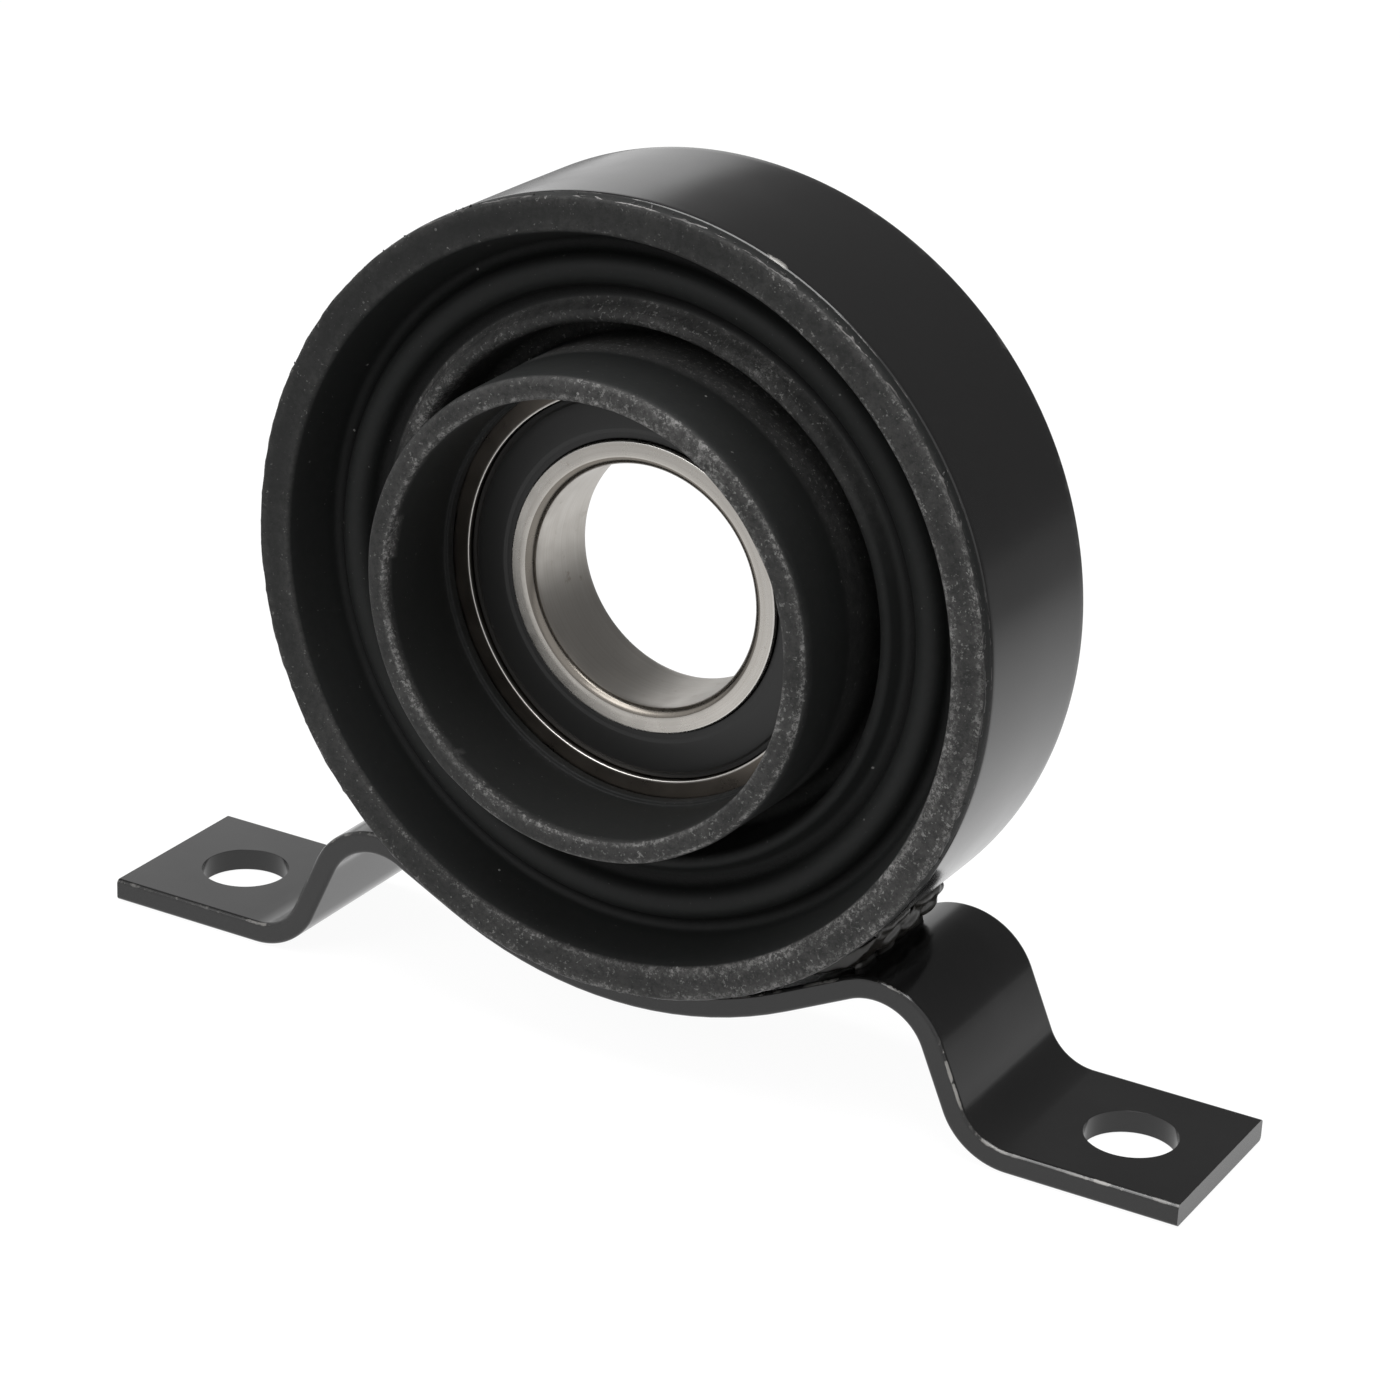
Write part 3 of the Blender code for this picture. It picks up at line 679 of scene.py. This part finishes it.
def weld(name, side, seed, material, node):
    """Long wavy drips of melt over the free side of the CAD bead, joined by a fine remesh."""
    bm = bmesh.new()
    bm.from_mesh(frame["nodes"][node].data)
    front, length, top_x, top_z = 8.6, 15.6, 34.2, 25.3
    for share, size, count in ((0.05, 0.85, 4), (0.45, 1.15, 3), (0.95, 0.8, 4)):
        for k in range(count):
            wobble = wander(seed + 5.3 * k, 7.7 * share)
            depth = front + length * (k + 0.5 + 0.5 * wobble.y) / count
            x = top_x - 2.7 * share + 0.55 * wobble.x
            z = top_z - 5.9 * share + 0.7 * wobble.z
            thickness = size * (1 + 0.3 * wobble.y)
            drip(bm, (side * x, depth, z), thickness, 0.62 * length / count, 0.25 * wobble.x)
    drip(bm, (side * (top_x - 0.3), 21.8, top_z + 0.3), 1.3, 1.6, 0.3)
    obj = placed_mesh(name, bm)
    remesh = obj.modifiers.new("melt", "REMESH")
    remesh.mode, remesh.voxel_size = "VOXEL", 0.2 * MM
    smooth = obj.modifiers.new("smooth", "SMOOTH")
    smooth.factor, smooth.iterations = 0.5, 7
    obj = baked(obj)
    for v in obj.data.vertices:
        p = v.co / MM
        v.co += v.normal * 0.13 * noise.noise(p / 1.6 + Vector((seed, 0, 0))) * MM
    obj.data.materials.clear()
    obj.data.materials.append(material)
    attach(obj, "housing")
    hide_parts(node)


def drip(bm, place, thickness, length, turn):
    """Adds one drop of melt, long along the shaft. place is (x, depth, z)."""
    x, depth, z = place
    shape = Matrix.Translation(Vector((x, RIM_Y + depth, z)) * MM) @ Matrix.Rotation(turn, 4, "Z")
    shape @= Matrix.Diagonal((thickness * MM, length * MM, thickness * MM, 1))
    bmesh.ops.create_icosphere(bm, subdivisions=3, radius=1.0, matrix=shape)


# Rubber cushion


LIP_R, LIP_BORE_R = 48.95, 44.7
CREST_R, LEDGE_R, GROOVE_R = 38.9, 32.9, 29.9
COLLAR_R, COLLAR_BORE_R, COLLAR_FRONT = 29.5, 26.65, -5.8
SEAT_R, SEAT_LIP_R, SEAT_FRONT, SEAT_REAR = 27.8, 26.1, 8.05, 21.55


def cushion(material):
    """The moulding from its front lip over the crest, ledge, groove and collar to the rear web."""
    lip = [(LIP_R, 1.7, 0, 0.5), (LIP_R, 0.0, 0.45, 0.9), (LIP_BORE_R, 0.0, 0.8, 0.9)]
    crest = [(41.9, 9.7, 1.0, 0.0), (CREST_R, 1.2, 1.9, 0.1), (36.2, 9.5, 1.2, 0.05)]
    groove = [(LEDGE_R, 3.6, 0.9, 0.8), (LEDGE_R - 0.8, 14.6, 1.0, 0.1), (GROOVE_R, 14.6, 1.0, 0.0)]
    collar = [(COLLAR_R, COLLAR_FRONT, 1.1, 0.3), (COLLAR_BORE_R, COLLAR_FRONT, 0.5, 0.9)]
    seat = [
        (COLLAR_BORE_R, 6.9, 0.3, 0.15), (SEAT_LIP_R, 6.9, 0.3, 0.3), (SEAT_LIP_R, SEAT_FRONT, 0, 0.1),
        (SEAT_R, SEAT_FRONT, 0, 0), (SEAT_R, SEAT_REAR, 0, 0), (SEAT_LIP_R, SEAT_REAR, 0, 0),
    ]
    web = [
        (SEAT_LIP_R, 23.6, 0.4, 0.2), (31.3, 23.6, 0.8, 0.6), (31.3, 18.0, 0.9, 0.1),
        (35.0, 18.0, 1.4, 0.1), (37.6, 12.8, 1.4, 0.0), (42.2, 12.8, 1.4, 0.0),
    ]
    sleeve = [(44.0, 25.3, 0.5, 0.4), (46.55, 25.3, 0, 0.3), (46.55, 1.7, 0, 0)]
    corners = lip + crest + groove + collar + seat + web + sleeve
    outline = resampled(filleted(corners, 18), 1.1)
    piece = turned("cushion", outline, material, 420)
    for v in piece.data.vertices:
        angle, r, depth = polar(v.co)
        r, depth = cushion_form(angle, r, depth)
        v.co = from_polar(angle, r, depth)
    sharpened(piece, 50)
    rub_and_light(piece)
    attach(piece, "housing")
    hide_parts("rubber_cushion")


def cushion_form(angle, r, depth):
    """Small faults of the moulding: a lip and collar that wander, and a hand-trimmed outer corner."""
    if depth < 0.9 and LIP_BORE_R - 0.7 < r < LIP_R + 0.55:
        depth += 0.10 * ring_noise(angle, 0, 0, 11, 2) + 0.05
        if r > LIP_R - 0.75:
            r += 0.10 * ring_noise(angle, 0, 0, 4, 3) - 0.12
    if depth < -4.0:
        depth += 0.12 * ring_noise(angle, 0, 0, 9, 4) + 0.06
        r += 0.10 * ring_noise(angle, 0, 0, 14, 5)
    return r, depth


def near(value, *edges, width=0.35):
    """1 at an edge, falling to 0 away from it."""
    return max(math.exp(-(((value - edge) / width) ** 2)) for edge in edges)


def rub_and_light(piece):
    """Rubs the front of the lip and collar, most at their edges, the ledge's ridge and the rear edges.
    Adds painted light: lighter towards the lower right, a sheen near the collar's top, a highlight on its
    inner edge, a lighter groove, and painted shade in the valleys.
    """
    scuffs_and_light = piece.data.attributes["scuff_and_light"].data
    for v in piece.data.vertices:
        angle, r, depth = polar(v.co)
        scuffs_and_light[v.index].value = min(1.0, rub_and_light_at(angle, r, depth, v.normal.y))


def rub_and_light_at(angle, r, depth, facing_rear):
    """Rub marks and painted light of the cushion at one place. It is negative, for painted shade, at the
    bottom of a valley.
    """
    patch = 0.5 + 0.5 * ring_noise(angle, r * 0.2, 0, 13, 6)
    # Painted light: the lip and collar are lighter towards the lower right.
    low = 0.5 + 0.5 * math.cos(angle - 2.2)
    # Painted highlight on the collar's inner edge, strongest on the left.
    left = 0.5 - 0.5 * math.sin(angle)
    # Painted sheen at the collar's top and painted light in the groove, strongest at the top.
    top = smoothstep(0.2, 1.0, math.cos(angle - 0.2))
    facing_front = facing_rear < -0.4
    if depth < 0.8 and r > LIP_BORE_R - 0.7:
        edges = (0.3 + 0.35 * low) * near(r, LIP_BORE_R + 0.3, LIP_R - 0.35)
        return (0.02 + 0.25 * patch + 0.55 * low) * facing_front + edges
    if depth < COLLAR_FRONT + 1.6:
        # Painted sheen near the collar's top and painted light towards the lower right, over patchy rub
        # marks.
        face = (0.3 + 0.35 * patch + 0.15 * low + 0.25 * top) * facing_front
        inner_edge = (0.3 + 0.8 * left) * near(r, COLLAR_BORE_R + 0.15)
        return face + inner_edge + 0.6 * low * near(r, COLLAR_R - 0.3)
    if LEDGE_R - 0.9 < r < LEDGE_R + 2.7 and depth < 8.0:
        return ledge_scuff(angle, r, depth, patch)
    # Painted shade at the bottoms of the valleys.
    if depth > 6.5 and (40.4 < r < 43.4 or 35.2 < r < 37.6):
        return -smoothstep(6.5, 8.0, depth)
    # Painted light: lifts the dark groove, more towards the top.
    if COLLAR_R - 0.5 < r < 33.0 and depth > 4.0:
        return (0.3 + 0.4 * top) * smoothstep(2, 6, depth)
    if depth > 22.5 and facing_rear > 0.5:
        return 0.5 * patch + 0.2
    if r < COLLAR_BORE_R + 0.05 and 6.4 < depth < 8.2:
        return 0.35 * patch
    return 0.05


def ledge_scuff(angle, r, depth, patch):
    """The ledge is rubbed all over near its top, and elsewhere only along the ridge."""
    top = smoothstep(-0.1, 0.8, math.cos(angle + 0.25))
    streak = 0.5 + 0.5 * ring_noise(angle, r * 2.5, 0, 4, 14)
    ridge = near(r, 33.0, width=0.5)
    return top * (0.35 + 0.45 * patch + 0.3 * streak) + 0.3 * ridge * patch


def lip_trim(material):
    """The crumpled flash of the moulding over the can's front edge, with painted highlights on its
    crumples, brightest at the upper right.
    """
    corners = [
        (48.2, 0.5, 0, 0.4), (48.85, 0.12, 0.1, 0.8),
        (48.97, 1.85, 0.08, 0.8), (48.5, 2.0, 0, 0.4),
    ]
    outline = resampled(filleted(corners, 45), 0.13)
    piece = turned("lip_trim", outline, material, 1500)
    scuffs_and_light = piece.data.attributes["scuff_and_light"].data
    for v in piece.data.vertices:
        angle, r, depth = polar(v.co)
        fold = abs(ring_noise(angle, 0, depth * 7, 3.6, 7))
        crumple = 1 - min(1.0, fold * 3.2)
        rag = ring_noise(angle, 0, 0, 0.8, 9) + 0.6 * ring_noise(angle, 0, 0, 0.35, 10)
        chip = max(0.0, ring_noise(angle, 0, 0, 2.4, 8) - 0.35)
        if r > 48.4:
            r = min(r - 0.18 + 0.18 * crumple + 0.04 * rag - 0.4 * chip, 48.99)
            # Painted highlights on the crumples, strongest at the upper right and patchy along the ring.
            highlight_side = 0.35 + 0.65 * smoothstep(0.75, 0.95, math.cos(angle - 0.2))
            painted_shine = 0.5 + 0.9 * ring_noise(angle, 0, depth * 2, 6, 12)
            gloss = smoothstep(0.45, 0.95, crumple) * highlight_side * painted_shine * 1.6
            scuffs_and_light[v.index].value = min(1.0, max(0.1, gloss))
        v.co = from_polar(angle, r, max(0.02, depth + 0.09 * rag))
    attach(piece, "housing")


def lip_slivers(material):
    """Loose bits of flash along the lip's seam, denser at the upper left as in the photograph."""
    points, places = [], 240
    for k in range(places):
        angle = -math.pi + math.tau * k / places + 0.02 * noise.noise(Vector((k * 1.7, 0, 0)))
        dense = 1.0 if -0.9 < angle < 0.4 else 0.35
        if noise.cell(Vector((k + 0.5, 3.5, 0.5))) < dense * 0.8:
            r = 48.75 + 0.1 * noise.noise(Vector((k * 0.9, 5, 0)))
            depth = 0.75 + 0.3 * noise.noise(Vector((k * 2.3, 9, 0)))
            points.append(tuple(from_polar(angle, r, depth) / MM))
    sizes = {"Smallest": 0.05 * MM, "Largest": 0.17 * MM, "Length": 3.0, "Seed": 11}
    cloud = input_mesh("lip_slivers", points)
    piece = grown("lip_slivers", cloud, SCATTER, {**sizes, "Material": material})
    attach(piece, "housing")


# Ball bearing


def in_bearing(corners):
    """Shifts an outline of (radius, depth, fillet, scuff) from the bearing's own centre to its depth."""
    return [(r, depth + BEARING_DEPTH, fillet, scuff_and_light) for r, depth, fillet, scuff_and_light in corners]


def race(name, plain, land, shoulder_r, groove_side, material, body):
    """One ring of the bearing, drawn from the ball groove out to its front face and mirrored.

    plain and land are the (radius, edge radius) of its fitted side and of its side to the seal.
    """
    face, land_depth, pitch_r, groove_r = 6.5, 4.4, 21.25, 3.872
    reach = math.acos(groove_side * (shoulder_r - pitch_r) / groove_r)
    arc = [reach * k / 8 for k in range(9)]
    half = [(pitch_r + groove_side * groove_r * math.cos(a), groove_r * math.sin(a), 0, 0) for a in arc]
    half += [(shoulder_r, land_depth, 0.1, 0), (land[0], land_depth, 0.1, 0)]
    toward = 0.3 if plain[0] > land[0] else -0.3
    # The 1 on the land's rounded edge marks it for a painted highlight.
    half += [(land[0], face - 0.4, 0, 0), (land[0], face, land[1], 1)]
    half += [(land[0] + toward, face, 0, 0), (plain[0], face, plain[1], 0)]
    front = [(r, -depth, fillet, scuff_and_light) for r, depth, fillet, scuff_and_light in reversed(half[1:])]
    outline = resampled(filleted(in_bearing(half + front), 15), 0.6)
    piece = sharpened(turned("bearing_" + name, outline, material, 300), 30)
    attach(piece, body)
    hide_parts(name)


def seal(name, side, material):
    """A moulded seal with a shallow step near each edge. side is -1 in front and 1 at the rear."""
    corners = [
        (23.9, -5.75, 0.12, 0), (23.3, -5.75, 0.12, 0), (23.05, -5.9, 0.12, 0), (19.4, -5.98, 0.3, 0),
        (18.9, -5.9, 0.2, 0), (18.13, -5.9, 0.12, 0), (18.13, -5.0, 0, 0), (19.4, -4.7, 0, 0),
        (23.9, -4.7, 0, 0),
    ]
    if side > 0:
        corners = [(r, -depth, fillet, scuff_and_light) for r, depth, fillet, scuff_and_light in reversed(corners)]
    outline = resampled(filleted(in_bearing(corners), 24), 0.8)
    piece = sharpened(turned("moulded_" + name, outline, material, 300), 45)
    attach(piece, "housing")
    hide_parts(name)


# Studio


def camera():
    azimuth, elevation, roll = (math.radians(a) for a in (CAMERA_AZIMUTH, CAMERA_ELEVATION, CAMERA_ROLL))
    level = math.cos(elevation)
    back = Vector((math.sin(azimuth) * level, -math.cos(azimuth) * level, math.sin(elevation)))
    right = Vector((math.cos(azimuth), math.sin(azimuth), 0))
    up = back.cross(right)
    across = right * math.cos(roll) + up * math.sin(roll)
    upward = -right * math.sin(roll) + up * math.cos(roll)
    facing = Matrix((across, upward, back)).transposed().to_4x4()
    data = bpy.data.cameras.new("camera")
    data.lens, data.sensor_width, data.sensor_fit = CAMERA_LENS, 36, "HORIZONTAL"
    data.clip_start = 0.01
    obj = bpy.data.objects.new("camera", data)
    obj.matrix_world = Matrix.Translation((CAMERA_TARGET + back * CAMERA_DISTANCE) * MM) @ facing
    bpy.context.scene.collection.objects.link(obj)
    bpy.context.scene.camera = obj


def softbox(name, place, target, width, height, power):
    """A rectangular light in metres and watts, aimed at its target."""
    data = bpy.data.lights.new(name, "AREA")
    data.shape, data.size, data.size_y, data.energy = "RECTANGLE", width, height, power
    obj = bpy.data.objects.new(name, data)
    obj.location = place
    obj.rotation_euler = (Vector(target) - Vector(place)).to_track_quat("-Z", "Y").to_euler()
    bpy.context.scene.collection.objects.link(obj)
    return obj


def cleared(owner):
    """Empties the node tree of a material or world, ready to be wired."""
    owner.use_nodes = True
    owner.node_tree.nodes.clear()
    return Shading(owner.node_tree)


def world(light, shown=1.0):
    """Soft light all round, and plain white wherever the camera, a gloss or glass sees it."""
    made = bpy.data.worlds.new("studio")
    bpy.context.scene.world = made
    s = cleared(made)
    soft = s.node("ShaderNodeBackground", {"Color": WHITE, "Strength": light})
    white = s.node("ShaderNodeBackground", {"Color": WHITE, "Strength": shown})
    both = s.node("ShaderNodeMixShader", {0: sees_background(s), 1: soft.outputs[0], 2: white.outputs[0]})
    s.node("ShaderNodeOutputWorld", {"Surface": both.outputs[0]})


def sees_background(s):
    path = s.node("ShaderNodeLightPath").outputs
    first = s.math("MAXIMUM", path["Is Camera Ray"], path["Is Glossy Ray"])
    return s.math("MAXIMUM", first, path["Is Transmission Ray"])


def floor():
    """A white table. The camera sees mostly its own white, which glosses see fade with distance."""
    bm = bmesh.new()
    bmesh.ops.create_circle(bm, cap_ends=True, segments=96, radius=1.4)
    obj = placed_mesh("floor", bm)
    obj.location.z = -0.0002
    material = bpy.data.materials.new("white_table")
    s = cleared(material)
    pale = s.node("ShaderNodeBsdfDiffuse", {"Color": (0.8, 0.8, 0.8, 1)})
    shaded = s.node("ShaderNodeBsdfDiffuse", {"Color": (0.09, 0.09, 0.09, 1)})
    fading_white = s.ramp(s.length(s.coords()), 0.1, 0.36, 0.95, 0.25)
    flat_white = s.times(s.node("ShaderNodeLightPath").outputs["Is Camera Ray"], 0.95)
    strength = s.math("MAXIMUM", flat_white, fading_white)
    own = s.node("ShaderNodeEmission", {"Color": WHITE, "Strength": strength})
    shown = s.node("ShaderNodeAddShader", {0: shaded.outputs[0], 1: own.outputs[0]})
    both = s.node("ShaderNodeMixShader", {0: sees_background(s), 1: pale.outputs[0], 2: shown.outputs[0]})
    s.node("ShaderNodeOutputMaterial", {"Surface": both.outputs[0]})
    obj.data.materials.append(material)


def smoothstep(low, high, value):
    share = min(1.0, max(0.0, (value - low) / (high - low)))
    return share * share * (3 - 2 * share)


def flag_level(azimuth, elevation):
    """Brightness of the room behind the object, by direction in degrees. Azimuth is positive to the left.

    The white table ends at an edge that rises to the left, and above it a faint glow fades to dark.
    """
    edge = -16 + 44 * smoothstep(-25, 45, azimuth)
    softness = 14 - 5 * smoothstep(-10, 35, azimuth)
    above = smoothstep(edge - softness / 2, edge + softness / 2, elevation)
    glow = 0.06 * (1 - smoothstep(edge + 6, edge + 20, elevation))
    inside = (1 - smoothstep(75, 100, abs(azimuth))) * (1 - smoothstep(60, 85, elevation))
    return 1 - (0.84 - glow) * above * inside


def dark_room():
    """Black studio cloth behind and above the table. Only the glosses on the object see it."""
    radius, step = 1.3, 3
    azimuths = range(-102, 103, step)
    elevations = range(-18, 88, step)
    points, levels = [], []
    for azimuth in azimuths:
        for elevation in elevations:
            a, e = math.radians(azimuth), math.radians(elevation)
            toward = Vector((-math.sin(a) * math.cos(e), math.cos(a) * math.cos(e), math.sin(e)))
            points.append(toward * radius)
            levels.append(flag_level(azimuth, elevation))
    rows = len(elevations)
    faces = [
        (c * rows + r, c * rows + r + 1, (c + 1) * rows + r + 1, (c + 1) * rows + r)
        for c in range(len(azimuths) - 1)
        for r in range(rows - 1)
    ]
    mesh = bpy.data.meshes.new("dark_room")
    mesh.from_pydata(points, [], faces)
    mesh.attributes.new("level", "FLOAT", "POINT").data.foreach_set("value", levels)
    obj = bpy.data.objects.new("dark_room", mesh)
    bpy.context.scene.collection.objects.link(obj)
    obj.location = (0, 0, 0.06)
    obj.visible_camera = obj.visible_diffuse = obj.visible_transmission = False
    obj.visible_shadow = obj.visible_volume_scatter = False
    material = bpy.data.materials.new("studio_cloth")
    s = cleared(material)
    glow = s.node("ShaderNodeEmission", {"Color": WHITE, "Strength": s.attribute("level")})
    s.node("ShaderNodeOutputMaterial", {"Surface": glow.outputs[0]})
    mesh.materials.append(material)


TURNED, STRIP, SCATTER = turned_tree(), strip_tree(), scatter_tree()


def rubber_materials():
    """Cushion, torn flash and seals."""
    group = rubber_group()
    cushion_values = {
        "Colour": (0.0062, 0.0068, 0.0066, 1), "Scuff Colour": (0.056, 0.055, 0.054, 1),
        "Dust": 0.9, "Base Roughness": 0.62,
    }
    # The pale colour here paints the highlights on the crumpled flash.
    trim_values = {
        "Colour": (0.008, 0.0078, 0.0075, 1), "Scuff Colour": (0.26, 0.25, 0.245, 1),
        "Dust": 0.6, "Base Roughness": 0.4, "Scuff Roughness": 0.45,
    }
    seal_values = {"Colour": (0.008, 0.008, 0.0078, 1), "Base Roughness": 0.4, "Dust": 0.25}
    return (
        finish_material("black_rubber", group, cushion_values, 0.4, 0.12, Specular_IOR_Level=0.2),
        finish_material("trim_rubber", group, trim_values, 0.4, 0.1),
        finish_material("seal_rubber", group, seal_values, 0.15, 0.04),
    )


def paint_materials():
    """Can and strap, and the rougher paint over the welds."""
    group = paint_group()
    weld_values = {"Colour": (0.02, 0.0185, 0.016, 1), "Base Roughness": 0.36, "Peel": 1.0}
    return (
        finish_material("black_paint", group, {"Base Roughness": 0.16, "Peel": 0.5}, 0.12, 0.03),
        finish_material("weld_paint", group, weld_values, 0.12, 0.05),
    )


def steel_materials():
    """Inner race, outer race, balls and cage."""
    group = steel_group()
    ball_values = {"Colour": (0.62, 0.62, 0.63, 1), "Base Roughness": 0.1, "Rings": 0.1}
    cage_values = {"Colour": (0.4, 0.39, 0.38, 1), "Base Roughness": 0.38, "Rings": 0.3}
    return [
        finish_material(name, group, values, bump, 0.01, Metallic=1.0)
        for name, values, bump in (
            ("ground_steel", {"Base Roughness": 0.24}, 0.15),
            ("dull_steel", {"Colour": (0.15, 0.135, 0.12, 1), "Base Roughness": 0.3}, 0.15),
            ("ball_steel", ball_values, 0.05),
            ("cage_steel", cage_values, 0.1),
        )
    ]


def main():
    black_rubber, trim_rubber, seal_rubber = rubber_materials()
    black_paint, weld_paint = paint_materials()
    ground_steel, dull_steel, ball_steel, cage_steel = steel_materials()
    can_shell(black_paint)
    strap(black_paint)
    weld("weld_right", 1, 0.0, weld_paint, "weld_bead_right")
    weld("weld_left", -1, 40.0, weld_paint, "weld_bead_left")
    cushion(black_rubber)
    lip_trim(trim_rubber)
    lip_slivers(trim_rubber)
    race("outer_race", (27.5, 0.9), (24.0, 0.12), 23.3, 1, dull_steel, "housing")
    race("inner_race", (15.0, 1.25), (18.05, 0.2), 19.1, -1, ground_steel, "inner")
    seal("front_seal", -1, seal_rubber)
    seal("rear_seal", 1, seal_rubber)
    for name, node in frame["nodes"].items():
        if name.startswith(("ball_", "cage_", "rivet_")):
            node.data.materials.clear()
            node.data.materials.append(ball_steel if name.startswith("ball_") else cage_steel)
    floor()
    world(0.28)
    dark_room()
    softbox("overhead_softbox", (0.0, -0.15, 0.95), (0, 0, 0.06), 0.8, 0.7, 11)
    softbox("front_fill", (-0.35, -0.85, 0.75), (0, 0, 0.05), 0.6, 0.6, 4.5)
    camera()
    bpy.context.scene.view_settings.view_transform = "Standard"


main()
